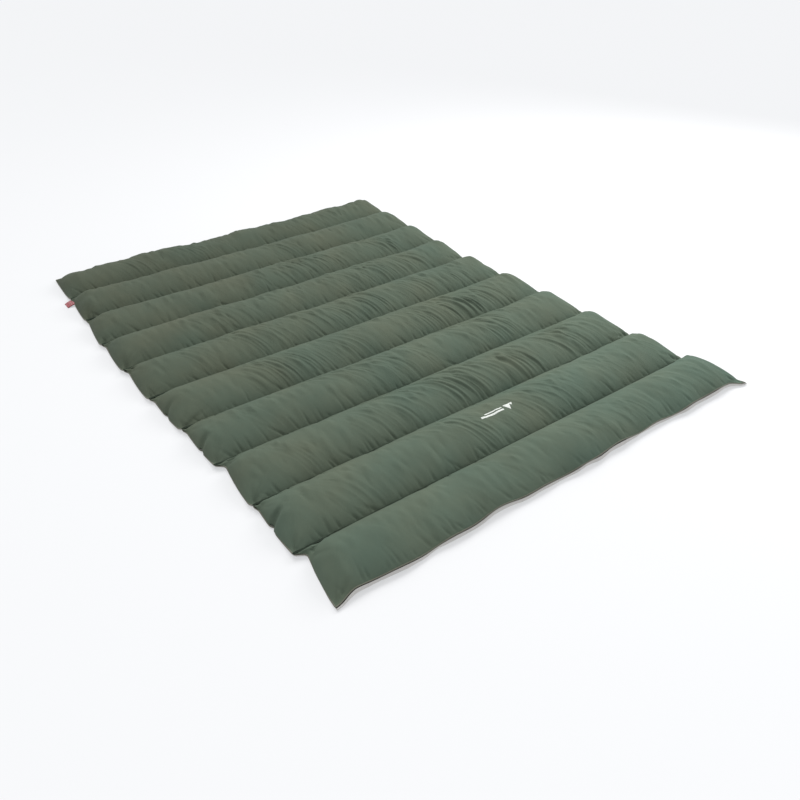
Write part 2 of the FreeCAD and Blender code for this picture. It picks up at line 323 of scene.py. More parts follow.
# Before it settles: how far the crest is under the design's, how much of the
# half width rounds off at the sides, and how far the cloth is sewn on aslant.
CREST_UNDER = 0.004
ROUNDED_SHARE = 0.11
SLANT = 0.070
DIMPLE = 0.0018


def crowned_shell():
    """The shell before the wadding pushes it up: each channel an arc from seam
    to seam, rounded off at the side edges. Returns points, and the flat cloth."""
    u = np.linspace(-1, 1, COLUMNS + 1)[None, :]
    v = np.linspace(0, CHANNELS, CHANNELS * ROWS + 1)[:, None]
    channel = np.minimum(np.floor(v + 1e-9), CHANNELS - 1)
    t = v - channel
    rise = CREST - SEAM_Z - CREST_UNDER
    radius = ((PITCH / 2) ** 2 + rise**2) / (2 * rise)
    half_turn = math.asin(PITCH / 2 / radius)
    turn = (2 * t - 1) * half_turn
    even = 0.5 + 0.5 * np.sin(turn) / math.sin(half_turn)
    points = plan(u, channel + even)
    to_side = np.clip((np.abs(u) - (1 - ROUNDED_SHARE)) / ROUNDED_SHARE, 0, 1)
    dome = (1 - to_side**2.4) ** 0.55
    height = radius * (np.cos(turn) - math.cos(half_turn)) * dome
    points[..., 2] += height * (1 + 0.05 * noise(4 * v, 7 * u + 7, 11))
    points[..., 2] += DIMPLE * np.sin(math.pi * t) * noise(6 * v, 45 * u + 45, 3)
    arc = 2 * radius * half_turn
    extra = EXTRA_WIDTH * (1 + 0.8 * noise(v, 6 * u + 6, 6))
    slant = SLANT * (1 + 0.8 * noise(v, 3.5 * u + 3.5, 5))
    flat_x = np.cumsum(2 * HALF_WIDTH / COLUMNS * (1 + extra), axis=1)
    flat_x = flat_x - flat_x.mean(axis=1, keepdims=True)
    flat_x = flat_x + np.cumsum(slant * arc / ROWS, axis=0)
    flat_y = np.broadcast_to(-CUT_PER_CHANNEL * v, flat_x.shape)
    return points, np.stack([flat_x, flat_y, np.zeros(flat_x.shape)], -1)


# How hard the wadding pushes, and how many frames the cloth settles for.
PUSH = 100
FRAMES = 24


def push_up(points, flat):
    """Cloth simulation: the shell is held at every seam and edge, and the
    wadding under it pushes evenly outwards."""
    rows, columns = points.shape[:2]
    sheet = new_mesh("shell_sheet", points.reshape(-1, 3), grid_faces(rows, columns))
    sheet.shape_key_add(name="Basis")
    cut = sheet.shape_key_add(name="cut")
    cut.data.foreach_set("co", flat.ravel())
    cut.value = 0
    held = np.zeros((rows, columns), bool)
    held[::ROWS] = True
    held[:, 0] = held[:, -1] = True
    sewn = sheet.vertex_groups.new(name="sewn")
    sewn.add(np.flatnonzero(held).tolist(), 1.0, "REPLACE")
    cloth = sheet.modifiers.new("cloth", "CLOTH")
    settings = cloth.settings
    settings.quality = 6
    settings.mass = 0.05
    settings.air_damping = 0
    settings.tension_stiffness = settings.compression_stiffness = 40
    settings.shear_stiffness = 20
    settings.bending_stiffness = 0.2
    settings.tension_damping = settings.compression_damping = 1
    settings.shear_damping = 1
    settings.vertex_group_mass = "sewn"
    settings.rest_shape_key = cut
    settings.use_pressure = True
    settings.uniform_pressure_force = PUSH
    settings.effector_weights.gravity = 0
    cloth.collision_settings.use_collision = False
    cloth.point_cache.frame_start = 1
    cloth.point_cache.frame_end = FRAMES + 1
    for number in range(1, FRAMES + 1):
        bpy.context.scene.frame_set(number)
    settled = sheet.evaluated_get(bpy.context.evaluated_depsgraph_get())
    places = np.zeros(rows * columns * 3, np.float32)
    settled.data.vertices.foreach_get("co", places)
    bpy.context.scene.frame_set(1)
    mesh = sheet.data
    bpy.data.objects.remove(sheet)
    bpy.data.meshes.remove(mesh)
    return places.reshape(rows, columns, 3).astype(float)


def finer(grid, axis, parts):
    """More points along one axis, on smooth curves through the old ones."""
    grid = np.swapaxes(grid, 0, axis)
    before = np.concatenate([2 * grid[:1] - grid[1:2], grid[:-1]])
    after = np.concatenate([grid[1:], 2 * grid[-1:] - grid[-2:-1]])
    slope = (after - before) / 2
    out = np.empty((parts * (len(grid) - 1) + 1,) + grid.shape[1:])
    out[-1] = grid[-1]
    for part in range(parts):
        a = part / parts
        start = (1 + 2 * a) * (1 - a) ** 2 * grid[:-1] + a * (1 - a) ** 2 * slope[:-1]
        end = a * a * (3 - 2 * a) * grid[1:] - a * a * (1 - a) * slope[1:]
        out[part:-1:parts] = start + end
    return np.swapaxes(out, 0, axis)


def grid_normals(grid):
    """The outward direction at each point of a grid."""
    down, along = np.gradient(grid, axis=0), np.gradient(grid, axis=1)
    normals = np.cross(down, along)
    return normals / np.linalg.norm(normals, axis=-1, keepdims=True)


def crease(depths, across, along, start, angle, length, width, depth):
    """Add one crease to depths: a groove that starts at a point of the cloth,
    runs at an angle from the seam's normal and fades out."""
    dx, dy = across - start[0], along - start[1]
    forward = dx * math.sin(angle) + dy * math.cos(angle)
    aside = dx * math.cos(angle) - dy * math.sin(angle)
    reach = np.exp(-((forward / length) ** 2)) * (1 - np.exp(-np.abs(forward) / 0.004))
    depths += depth * reach * (forward > 0) * np.exp(-((aside / width) ** 2))


def from_seams(grid):
    """How far along the cloth each point is from the back seam and the front."""
    steps = np.linalg.norm(np.diff(grid, axis=0), axis=-1)
    from_back = np.concatenate([np.zeros((1, grid.shape[1])), np.cumsum(steps, 0)])
    return from_back, from_back[-1:] - from_back


# This far inside its sewn edge the cloth is free to wrinkle.
FREE_FROM = 0.012


def free_of_edge(grid, channel):
    """0 on the sewn outer edge, where the cloth is held, and 1 a little inside."""
    from_back, from_front = from_seams(grid)
    x = grid[..., 0]
    room = np.minimum(x - x[:, :1], x[:, -1:] - x)
    if channel == 1:
        room = np.minimum(room, from_back)
    if channel == CHANNELS:
        room = np.minimum(room, from_front)
    return np.clip(room / FREE_FROM, 0, 1)


# How strongly each channel's cloth is wrinkled, from the back.
WRINKLED = (0.7, 0.8, 0.9, 1.0, 1.1, 1.2, 1.1, 1.5, 1.0, 0.35)
LEAN_AT_BACK = math.radians(56)
LEAN_AT_FRONT = math.radians(8)
# Heights and spacings of the long ridges, the fine lines and the broad lumps, the
# size of a wrinkled patch, and how much of each end of the channel lies calm.
RIDGE, RIDGE_APART = 0.0027, 0.0135
FINE, FINE_APART = 0.0008, 0.0065
LUMP = 0.0026
PATCH = 0.11
CALM_LEFT, CALM_RIGHT = 0.50, 0.30


def wrinkle(grid, channel):
    """Long fine wrinkles. They lie over towards the right at the back seam and
    turn square to the front seam, and come and go along the channel."""
    from_back, from_front = from_seams(grid)
    share = from_back / (from_back + from_front)
    lean = LEAN_AT_BACK + (LEAN_AT_FRONT - LEAN_AT_BACK) * share
    along = grid[..., 0] - np.cumsum(
        np.tan(lean) * np.diff(from_back, axis=0, prepend=0), axis=0
    )
    u = np.linspace(-1, 1, grid.shape[1])[None, :]
    patch = np.clip(0.55 + 0.75 * noise(1.5 * share, along / PATCH, 500 + channel), 0, 2)
    ends = np.clip(np.minimum((u + 1) / CALM_LEFT, (1 - u) / CALM_RIGHT), 0, 1)
    middle = np.sin(math.pi * np.clip(share, 0, 1)) ** 0.7
    near_nought = noise(1.2 * share, along / RIDGE_APART, 520 + channel) / 0.38
    ridges = np.exp(-(near_nought**2))
    fine = noise(2.5 * share, along / FINE_APART, 540 + channel)
    right_side = 0.75 + 0.25 * np.clip(u + 0.4, -1, 1)
    strength = WRINKLED[channel - 1] * patch * ends * middle * right_side
    heights = strength * (RIDGE * ridges + FINE * fine)
    lumps = LUMP * noise(1.1 * share + 2 * channel, u * 4.5 + 9, 560) * middle * ends
    moved = (heights + lumps) * free_of_edge(grid, channel)
    return grid + grid_normals(grid) * moved[..., None]


# The swell along each back seam, and how far the channels lean to the back.
RIM_HEIGHT = 0.0048
RIM_PLACE = 0.011
RIM_WIDTH = 0.009
SKEW = 0.010
RIGHT_SKEW = 0.030
RIGHT_PART = 0.28


def tighten(grid, channel):
    """The stitches pull each channel down steeply along its back seam, so it
    swells close to it, and at the right edge even more so."""
    from_back, _ = from_seams(grid)
    swell = np.exp(-(((from_back - RIM_PLACE) / RIM_WIDTH) ** 2))
    uneven = 1 + 0.35 * noise(0, grid[:1, :, 0] / 0.05, 600 + channel)
    grid[..., 2] += RIM_HEIGHT * swell * uneven * (from_back > 0)
    t = np.linspace(0, 1, grid.shape[0])[:, None]
    u = np.linspace(-1, 1, grid.shape[1])[None, :]
    to_right = np.clip((u - (1 - RIGHT_PART)) / RIGHT_PART, 0, 1)
    to_right = to_right * to_right * (3 - 2 * to_right)
    grid[..., 1] += (SKEW + RIGHT_SKEW * to_right) * np.sin(math.pi * t) ** 2
    return grid


# Where the left edge has folded under itself: channels from the back, and how
# long and how deep the fold is.
TUCK_LEAN = 1.10
TUCK_WIDE = 0.007
LEFT_TUCKS = (
    (3.14, 0.035, 0.005), (4.14, 0.040, 0.006), (5.16, 0.035, 0.005), (5.55, 0.030, 0.004),
    (6.60, 0.045, 0.006), (7.15, 0.050, 0.009), (8.48, 0.050, 0.008), (9.15, 0.060, 0.011),
)


# How far apart the creases at the back seam and at the front seam are, and the
# lean of the three creases that fan out from each end of a seam.
CREASES_APART = (0.050, 0.030)
FAN = (0.35, 0.75, 1.15)
FAN_WIDE = 0.006


def pucker(grid, channel):
    """The short creases that the stitches draw into the cloth along both seams,
    the fans at the ends of the channel, and the tucks in its left edge."""
    chance = np.random.default_rng(100 + channel)
    x_here, y_here = grid[..., 0].copy(), grid[..., 1].copy()
    depths = np.zeros(grid.shape[:2])
    for distance, flip, spacing in zip(from_seams(grid), (-1, 1), CREASES_APART):
        x = x_here.min()
        while x < x_here.max():
            x += spacing * chance.uniform(0.4, 1.9)
            slant = -flip * chance.normal(0.30, 0.22)
            length = chance.uniform(0.014, 0.045)
            width = chance.uniform(0.0026, 0.0048)
            deep = chance.uniform(0.0012, 0.0044)
            crease(depths, x_here, distance, (x, 0), slant, length, width, deep)
        for side in (-1, 1):
            corner = (side_x(side, channel - (0.0 if flip > 0 else 1.0)), 0)
            for angle in FAN:
                turn = -side * (angle + chance.uniform(-0.15, 0.15))
                length = chance.uniform(0.030, 0.075)
                deep = chance.uniform(0.0026, 0.0065)
                crease(depths, x_here, distance, corner, turn, length, FAN_WIDE, deep)
    for place, length, deep in LEFT_TUCKS:
        if channel - 1 < place < channel:
            start = (side_x(-1, place) - 0.01, HALF_LENGTH - PITCH * place)
            crease(depths, x_here, y_here, start, TUCK_LEAN, length, TUCK_WIDE, deep)
    depths *= free_of_edge(grid, channel)
    return grid - grid_normals(grid) * depths[..., None]


FOLD_SLOPE = math.tan(math.radians(55))
TOE = 0.0010
LOWEST_CLOTH = 0.002


def clear_of_folds(grid, channel):
    """Hold the cloth under the slope at which two channels would meet when the
    seam between them folds, and stop it just short of the line it folds on."""
    for seam in (channel - 1, channel):
        if 1 <= seam < CHANNELS:
            away = grid[..., 1] - SEAM_Y[seam - 1]
            away = np.maximum(away if seam == channel else -away, TOE)
            grid[..., 1] = SEAM_Y[seam - 1] + (away if seam == channel else -away)
            grid[..., 2] = np.minimum(grid[..., 2], SEAM_Z + away * FOLD_SLOPE)
    grid[..., 2] = np.maximum(grid[..., 2], LOWEST_CLOTH)
    return grid


def make_weave_group():
    """Woven cloth: the height of crossing threads, and a soft unevenness of
    shade from the brushed nap."""
    group = bpy.data.node_groups.new("woven_cloth", "ShaderNodeTree")
    for name, usual in (("Threads", 900.0), ("Nap", 0.5), ("Unevenness", 0.5)):
        socket = group.interface.new_socket(name, in_out="INPUT", socket_type="NodeSocketFloat")
        socket.default_value = usual
    for name in ("Height", "Shade"):
        group.interface.new_socket(name, in_out="OUTPUT", socket_type="NodeSocketFloat")
    nodes, links = group.nodes, group.links
    given = nodes.new("NodeGroupInput")
    result = nodes.new("NodeGroupOutput")
    place = nodes.new("ShaderNodeTexCoord")

    def wave(direction):
        node = nodes.new("ShaderNodeTexWave")
        node.bands_direction = direction
        node.inputs["Distortion"].default_value = 0.4
        links.new(place.outputs["Object"], node.inputs["Vector"])
        links.new(given.outputs["Threads"], node.inputs["Scale"])
        return node.outputs["Fac"]

    def blotches(scale, detail):
        node = nodes.new("ShaderNodeTexNoise")
        node.inputs["Scale"].default_value = scale
        node.inputs["Detail"].default_value = detail
        links.new(place.outputs["Object"], node.inputs["Vector"])
        return node.outputs["Fac"]

    def math_node(operation, first, second, third=None):
        node = nodes.new("ShaderNodeMath")
        node.operation = operation
        for slot_index, value in enumerate((first, second, third)):
            if value is None:
                continue
            if isinstance(value, (int, float)):
                node.inputs[slot_index].default_value = value
            else:
                links.new(value, node.inputs[slot_index])
        return node.outputs[0]

    warp, weft = wave("X"), wave("Y")
    threads = math_node("MAXIMUM", warp, weft)
    fibres = blotches(1400.0, 4.0)
    patches = blotches(9.0, 3.0)
    nap = math_node("MULTIPLY", fibres, given.outputs["Nap"])
    height = math_node("ADD", threads, nap)
    fine = math_node("MULTIPLY_ADD", nap, 0.22, 0.89)
    broad = math_node("SUBTRACT", patches, 0.5)
    broad = math_node("MULTIPLY", broad, given.outputs["Unevenness"])
    shade = math_node("ADD", fine, broad)
    links.new(height, result.inputs["Height"])
    links.new(shade, result.inputs["Shade"])
    return group


woven_cloth = make_weave_group()
THREAD_HEIGHT = 0.0003
CLOTH_ROUGHNESS = 0.88
CLOTH_GLOSS = 0.10
SHEEN_ROUGHNESS = 0.45


def cloth_material(name, colour, tint, threads, nap, uneven, bump, sheen):
    """A woven cloth: two near shades mixed by the weave's unevenness, rough,
    with a soft sheen from the nap."""
    material, tree, shader = new_material(name)
    nodes, links = tree.nodes, tree.links
    weave = nodes.new("ShaderNodeGroup")
    weave.name = "weave"
    weave.node_tree = woven_cloth
    weave.inputs["Threads"].default_value = threads
    weave.inputs["Nap"].default_value = nap
    weave.inputs["Unevenness"].default_value = uneven
    patches = nodes.new("ShaderNodeTexNoise")
    patches.name = "patches"
    patches.inputs["Scale"].default_value = 5.0
    patches.inputs["Detail"].default_value = 4.0
    place = nodes.new("ShaderNodeTexCoord")
    place.name = "place"
    links.new(place.outputs["Object"], patches.inputs["Vector"])
    mix = nodes.new("ShaderNodeMix")
    mix.name = "tint"
    mix.data_type = "RGBA"
    mix.inputs["A"].default_value = (*colour, 1)
    mix.inputs["B"].default_value = (*tint, 1)
    links.new(patches.outputs["Fac"], mix.inputs["Factor"])
    shaded = nodes.new("ShaderNodeVectorMath")
    shaded.name = "shade"
    shaded.operation = "SCALE"
    links.new(mix.outputs["Result"], shaded.inputs[0])
    links.new(weave.outputs["Shade"], shaded.inputs["Scale"])
    links.new(shaded.outputs[0], shader.inputs["Base Color"])
    surface = nodes.new("ShaderNodeBump")
    surface.inputs["Strength"].default_value = bump
    surface.inputs["Distance"].default_value = THREAD_HEIGHT
    links.new(weave.outputs["Height"], surface.inputs["Height"])
    links.new(surface.outputs["Normal"], shader.inputs["Normal"])
    shader.inputs["Roughness"].default_value = CLOTH_ROUGHNESS
    shader.inputs["Specular IOR Level"].default_value = CLOTH_GLOSS
    shader.inputs["Sheen Weight"].default_value = sheen
    shader.inputs["Sheen Roughness"].default_value = SHEEN_ROUGHNESS
    return material


# Painted shade: change a metre, to the right and to the back, standing in for light that is
# stronger at the front right.
OLIVE_TO_RIGHT, OLIVE_TO_BACK = -0.12, 0.14
MIDDLE_SHADE = 0.98
SHADE_TO_RIGHT, SHADE_TO_BACK = 0.05, -0.15


def painted_shade_to_back(material):
    """Painted shade: the cloth is painted darker and more olive towards the back, and
    greener towards the right, in place of light that falls off across the quilt."""
    nodes, links = material.node_tree.nodes, material.node_tree.links
    place = nodes["place"].outputs["Object"]

    def lean(start, x_part, y_part):
        node = nodes.new("ShaderNodeVectorMath")
        node.operation = "DOT_PRODUCT"
        node.inputs[1].default_value = (x_part, y_part, 0)
        links.new(place, node.inputs[0])
        raised = nodes.new("ShaderNodeMath")
        raised.inputs[1].default_value = start
        links.new(node.outputs["Value"], raised.inputs[0])
        return raised

    tint = lean(0, OLIVE_TO_RIGHT, OLIVE_TO_BACK)
    links.new(nodes["patches"].outputs["Fac"], tint.inputs[1])
    links.new(tint.outputs[0], nodes["tint"].inputs["Factor"])
    shade = lean(MIDDLE_SHADE, SHADE_TO_RIGHT, SHADE_TO_BACK)
    level = nodes.new("ShaderNodeMath")
    level.operation = "MULTIPLY"
    links.new(shade.outputs[0], level.inputs[0])
    links.new(nodes["weave"].outputs["Shade"], level.inputs[1])
    links.new(level.outputs[0], nodes["shade"].inputs["Scale"])


SHELL_GREEN = (0.073, 0.114, 0.088)
SHELL_OLIVE = (0.106, 0.114, 0.076)
shell_cloth = cloth_material(
    "shell_cloth", SHELL_GREEN, SHELL_OLIVE,
    threads=900.0, nap=0.6, uneven=0.25, bump=0.35, sheen=0.01,
)
# Painted shade over the shell: darker and more olive towards the back, greener to the right.
painted_shade_to_back(shell_cloth)

shell_points, shell_cut = crowned_shell()
shell_points = push_up(shell_points, shell_cut)

shell_pieces = []
shell_grids = []
for channel in range(1, CHANNELS + 1):
    panel = shell_points[(channel - 1) * ROWS : channel * ROWS + 1]
    panel = finer(finer(panel, 0, 2), 1, 3)
    panel = wrinkle(tighten(panel, channel), channel)
    panel = clear_of_folds(pucker(panel, channel), channel)
    rows, columns = panel.shape[:2]
    piece = new_mesh(
        f"shell_{channel:02d}", panel.reshape(-1, 3), grid_faces(rows, columns)
    )
    piece.data.materials.append(shell_cloth)
    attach(piece, f"channel_{channel:02d}")
    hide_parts(f"shell_panel_{channel:02d}")
    shell_pieces.append(piece)
    shell_grids.append(panel)


# ---- Lining -----------------------------------------------------------------
# The under cloth, a soft light grey, cut in one sheet like the shell. It lies on
# the floor under each channel and turns up to the seams and to the sewn edge.
LINING_COLUMNS = 120
LINING_ROWS = 28
SEAM_TURN = 0.030
EDGE_TURN = 0.016
FRONT_BULGE = 0.007
SIDE_BULGE = 0.002
GATHER = 0.0024
GATHER_REACH = 0.035
LINING_CREASE = 0.0009
OFF_FLOOR = 0.0003
UNDER_EDGE = 0.0006
LINING_GREY = (0.54, 0.53, 0.51)
LINING_WARM = (0.58, 0.565, 0.54)
lining_cloth = cloth_material(
    "lining_cloth", LINING_GREY, LINING_WARM,
    threads=700.0, nap=0.8, uneven=0.12, bump=0.4, sheen=0.15,
)


def turned_up(distance, reach):
    """Share of the full height at a distance from a seam or an edge: 1 at the
    seam, 0 past reach, like a quarter of a circle."""
    t = np.clip(1 - distance / reach, 0, 1)
    return 1 - np.sqrt(1 - t * t * 0.985)


def lining_points(channel):
    """The lining of one channel, with its points closer near the turned edges."""
    crowd = np.linspace(0, 1, LINING_ROWS + 1)[:, None]
    t = (1 - np.cos(math.pi * crowd)) / 2
    u = np.sin(np.linspace(-1, 1, LINING_COLUMNS + 1) * math.pi / 2)[None, :]
    points = plan(u, channel - 1 + t)
    level = points[..., 2].copy()
    back, front = points[:1, :, 1], points[-1:, :, 1]
    reach_back = EDGE_TURN if channel == 1 else SEAM_TURN
    reach_front = EDGE_TURN if channel == CHANNELS else SEAM_TURN
    up = turned_up(back - points[..., 1], reach_back)
    up = np.maximum(up, turned_up(points[..., 1] - front, reach_front))
    left, right = points[:, :1, 0], points[:, -1:, 0]
    up = np.maximum(up, turned_up(points[..., 0] - left, EDGE_TURN))
    up = np.maximum(up, turned_up(right - points[..., 0], EDGE_TURN))
    inside = np.minimum(back - points[..., 1], points[..., 1] - front)
    gather = np.clip(noise(3 * t, 34 * u + 34, 300 + channel), 0, 1.2)
    creases = np.clip(noise(5 * t + 2 * u, 16 * u + 16, 340 + channel), 0, 1.2)
    ripples = GATHER * gather * np.exp(-inside / GATHER_REACH) + LINING_CREASE * creases
    swell = 4 * up * (1 - up) * (1 + 0.35 * noise(0, 16 * u + 16, 320 + channel))
    if channel == CHANNELS:
        points[..., 1] -= FRONT_BULGE * swell * (points[..., 1] - front < EDGE_TURN)
    if channel == 1:
        points[..., 1] += SIDE_BULGE * swell * (back - points[..., 1] < EDGE_TURN)
    points[..., 0] -= SIDE_BULGE * swell * (points[..., 0] - left < EDGE_TURN)
    points[..., 0] += SIDE_BULGE * swell * (right - points[..., 0] < EDGE_TURN)
    edge = np.zeros(up.shape, bool)
    edge[[0, -1]] = True
    edge[:, [0, -1]] = True
    raised = level * up + ripples * (1 - up) + OFF_FLOOR
    points[..., 2] = np.where(edge, level, np.minimum(raised, level - UNDER_EDGE))
    for row, seam, way in ((0, channel - 1, -1), (-1, channel, 1)):
        if 1 <= seam < CHANNELS:
            points[row, :, 1] += way * TOE
            points[row, :, 2] -= TOE
    return points


for channel in range(1, CHANNELS + 1):
    under = lining_points(channel)
    faces = grid_faces(*under.shape[:2])[:, ::-1]
    piece = new_mesh(f"lining_{channel:02d}", under.reshape(-1, 3), faces)
    piece.data.materials.append(lining_cloth)
    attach(piece, f"channel_{channel:02d}")
    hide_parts(f"lining_panel_{channel:02d}")


# ---- Wadding ----------------------------------------------------------------
# Loose white hollow fibre, one batt in each channel. It fills the space between
# the two cloths and thins out to nothing at the seams.
wadding_fibre = cloth_material(
    "wadding_fibre", (0.82, 0.82, 0.80), (0.88, 0.88, 0.86),
    threads=260.0, nap=1.0, uneven=0.2, bump=0.9, sheen=0.4,
)
WADDING_CLEAR = 0.003
WADDING_LOWEST = 0.004
WADDING_OVER_LINING = 0.0025
WADDING_RIM = 0.0005
WADDING_STEP = (4, 6)


def wadding_points(channel):
    """Upper and lower faces of the batt, on one coarse grid that stays under
    the deepest creases of the shell."""
    top = shell_grids[channel - 1]
    lowest = top[..., 2].copy()
    for axis, reach in enumerate(WADDING_STEP):
        for shift in range(-reach, reach + 1):
            lowest = np.minimum(lowest, np.roll(lowest, shift, axis))
    inner = top[:: WADDING_STEP[0], :: WADDING_STEP[1]][1:-1, 2:-2]
    lowest = lowest[:: WADDING_STEP[0], :: WADDING_STEP[1]][1:-1, 2:-2]
    upper, lower = inner.copy(), inner.copy()
    upper[..., 2] = np.maximum(lowest - WADDING_CLEAR, WADDING_LOWEST)
    lower[..., 2] = np.minimum(SEAM_Z, upper[..., 2])
    sag = np.minimum((upper[..., 2] - SEAM_Z) * 0.6, SEAM_Z - WADDING_OVER_LINING)
    lower[..., 2] -= np.clip(sag, 0, None)
    rim = np.ones(inner.shape[:2], bool)
    rim[1:-1, 1:-1] = False
    middle = (upper[rim] + lower[rim]) / 2
    upper[rim] = middle + (0, 0, WADDING_RIM)
    lower[rim] = middle - (0, 0, WADDING_RIM)
    return upper, lower


def closed_pillow(upper, lower):
    """One closed skin from two grids of the same size, joined round the rim."""
    rows, columns = upper.shape[:2]
    count = rows * columns
    faces = grid_faces(rows, columns)
    index = np.arange(count).reshape(rows, columns)
    rim = np.concatenate(
        [index[:, 0], index[-1, 1:], index[-2::-1, -1], index[0, -2:0:-1]]
    )
    after = np.roll(rim, -1)
    wall = np.stack([rim, rim + count, after + count, after], -1)
    points = np.concatenate([upper.reshape(-1, 3), lower.reshape(-1, 3)])
    return points, np.concatenate([faces, faces[:, ::-1] + count, wall])


for channel in range(1, CHANNELS + 1):
    points, faces = closed_pillow(*wadding_points(channel))
    piece = new_mesh(f"wadding_{channel:02d}", points, faces)
    piece.data.materials.append(wadding_fibre)
    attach(piece, f"channel_{channel:02d}")
    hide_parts(f"filling_{channel:02d}")


# ---- Sewn-through seams -----------------------------------------------------
# At each seam the stitches press both cloths and the wadding to a narrow crease,
# which is what bends when the quilt is folded. The shell on the crease is painted
# darker, as painted shade in the fold.
CREASE_HALF = 0.0024
CREASE_CORE = 0.0007
CREASE_LIP = 0.0022
CREASE_COLUMNS = 360


def crease_points(seam):
    """A ring of points round the crease at each step along the seam."""
    u = np.linspace(-1, 1, CREASE_COLUMNS + 1)
    line = plan(u, float(seam))
    offsets = np.linspace(-1, 1, 5)
    ring = []
    for side, row in ((1, offsets), (-1, offsets[::-1])):
        for offset in row:
            lift = CREASE_CORE + CREASE_LIP * offset**2
            ring.append((offset * CREASE_HALF, side * lift))
    ring = np.array(ring)
    points = np.repeat(line[:, None, :], len(ring), axis=1)
    gather = 1 + 0.22 * noise(0, 75 * u[:, None] + 75, 40 + seam)
    points[..., 1] += ring[None, :, 0]
    points[..., 2] += ring[None, :, 1] * gather
    return points


def tube_faces(steps, around):
    """Quads round a tube, with its two ends closed."""
    index = np.arange(steps * around).reshape(steps, around)
    after = np.roll(index, -1, axis=1)
    quads = np.stack([index[:-1], index[1:], after[1:], after[:-1]], -1).reshape(-1, 4)
    return quads.tolist() + [index[0].tolist(), index[-1, ::-1].tolist()]


def bend_across(piece):
    """Bake a piece that lies along a seam into its points; it is attached to no channel and does
    not bend.
    """
    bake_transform(piece)


# Painted shade: the shell on the crease is painted far darker than the shell, for the shadow in
# the fold.
pressed_cloth = cloth_material(
    "pressed_cloth", (0.034, 0.052, 0.038), (0.042, 0.052, 0.036),
    threads=900.0, nap=0.6, uneven=0.25, bump=0.35, sheen=0,
)

for seam in range(1, CHANNELS):
    points = crease_points(seam)
    piece = new_mesh(
        f"crease_{seam}", points.reshape(-1, 3), tube_faces(*points.shape[:2])
    )
    piece.data.materials.append(pressed_cloth)
    piece.data.materials.append(lining_cloth)
    for polygon in piece.data.polygons:
        polygon.material_index = int(polygon.normal.z < 0)
    bend_across(piece)
    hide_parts(f"seam_cloth_{seam}")


# ---- Stitches ---------------------------------------------------------------
# A row of lockstitch down the middle of each crease: needle thread on top, in the
# shell's colour painted darker as painted shade along the seam, bobbin thread in the
# lining's underneath, both spun polyester.
STITCH_PITCH = 0.0042
STITCH_LENGTH = 0.0034
STITCH_RADIUS = 0.00045
STITCH_SIDES = 6
STITCH_BOW = 0.0003
STITCH_PROUD = 0.0001
# The row starts and ends this far inside the side edges.
ROW_START, ROW_END = 0.006, 0.004
# Painted shade: the needle thread is painted darker than the shell, for the dark seam line.
thread = cloth_material(
    "thread", (0.034, 0.050, 0.036), (0.040, 0.052, 0.038),
    threads=2600.0, nap=0.5, uneven=0.1, bump=0.6, sheen=0.1,
)
bobbin_thread = cloth_material(
    "bobbin_thread", (0.46, 0.45, 0.43), (0.50, 0.49, 0.46),
    threads=2600.0, nap=0.5, uneven=0.1, bump=0.6, sheen=0.1,
)


def one_stitch():
    """Points and faces of one stitch along X, bowed and thin at its ends."""
    along = np.linspace(-1, 1, 5)
    points = []
    for a in along:
        radius = STITCH_RADIUS * (1.02 - a * a) ** 0.5
        for side in range(STITCH_SIDES):
            angle = 2 * math.pi * side / STITCH_SIDES
            points.append(
                (
                    a * STITCH_LENGTH / 2,
                    radius * math.cos(angle),
                    radius * math.sin(angle) + STITCH_BOW * (1 - a * a),
                )
            )
    return np.array(points), tube_faces(len(along), STITCH_SIDES)


stitch_points, stitch_faces = one_stitch()
for seam in range(1, CHANNELS):
    left, right = side_x(-1, float(seam)), side_x(1, float(seam))
    places = np.arange(left + ROW_START, right - ROW_END, STITCH_PITCH)
    points, faces = [], []
    for way in (1, -1):
        for x in places:
            middle = (x, SEAM_Y[seam - 1], SEAM_Z + way * (CREASE_CORE + STITCH_PROUD))
            first = len(points)
            points.extend(stitch_points * (1, 1, way) + middle)
            faces.extend([[first + i for i in face[::way]] for face in stitch_faces])
    piece = new_mesh(f"stitches_{seam}", points, faces)
    piece.data.materials.append(thread)
    piece.data.materials.append(bobbin_thread)
    for polygon in piece.data.polygons:
        polygon.material_index = int(polygon.center.z < SEAM_Z)
    bend_across(piece)
    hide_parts(f"seam_thread_{seam}")


# ---- Sewn edge --------------------------------------------------------------
# Shell and lining are sewn face to face and turned out, which leaves a thin
# rounded edge all round. One length rides with each channel. Its dark taupe colour
# is painted shade, for the rolled shell and lining turned away from the light.
EDGE_WIDE = 0.0019
EDGE_HIGH = 0.0013
EDGE_SIDES = 8
# The edge stops this share of a channel short of each seam.
SHORT_OF_SEAM = 0.012
# Painted shade: the rolled edge is painted a dark taupe for the shadow along it.
edge_cloth = cloth_material(
    "edge_cloth", (0.150, 0.140, 0.112), (0.120, 0.135, 0.100),
    threads=900.0, nap=0.6, uneven=0.3, bump=0.4, sheen=0.2,
)


def edge_line(channel):
    """Points along the sewn edge of a channel: one line a side, or one line
    round three sides for the first and last channel."""
    v = np.linspace(channel - 1, channel, 41)
    start = channel - 1 + SHORT_OF_SEAM * (channel > 1)
    stop = channel - SHORT_OF_SEAM * (channel < CHANNELS)
    kept = np.clip(v, start, stop)
    left, right = plan(-1.0, kept), plan(1.0, kept)
    u = np.linspace(-1, 1, 301)
    if channel == 1:
        return [np.concatenate([left[::-1], plan(u, 0.0)[1:-1], right])]
    if channel == CHANNELS:
        end = plan(u, float(CHANNELS))
        return [np.concatenate([left, end[1:-1], right[::-1]])]
    return [left, right]


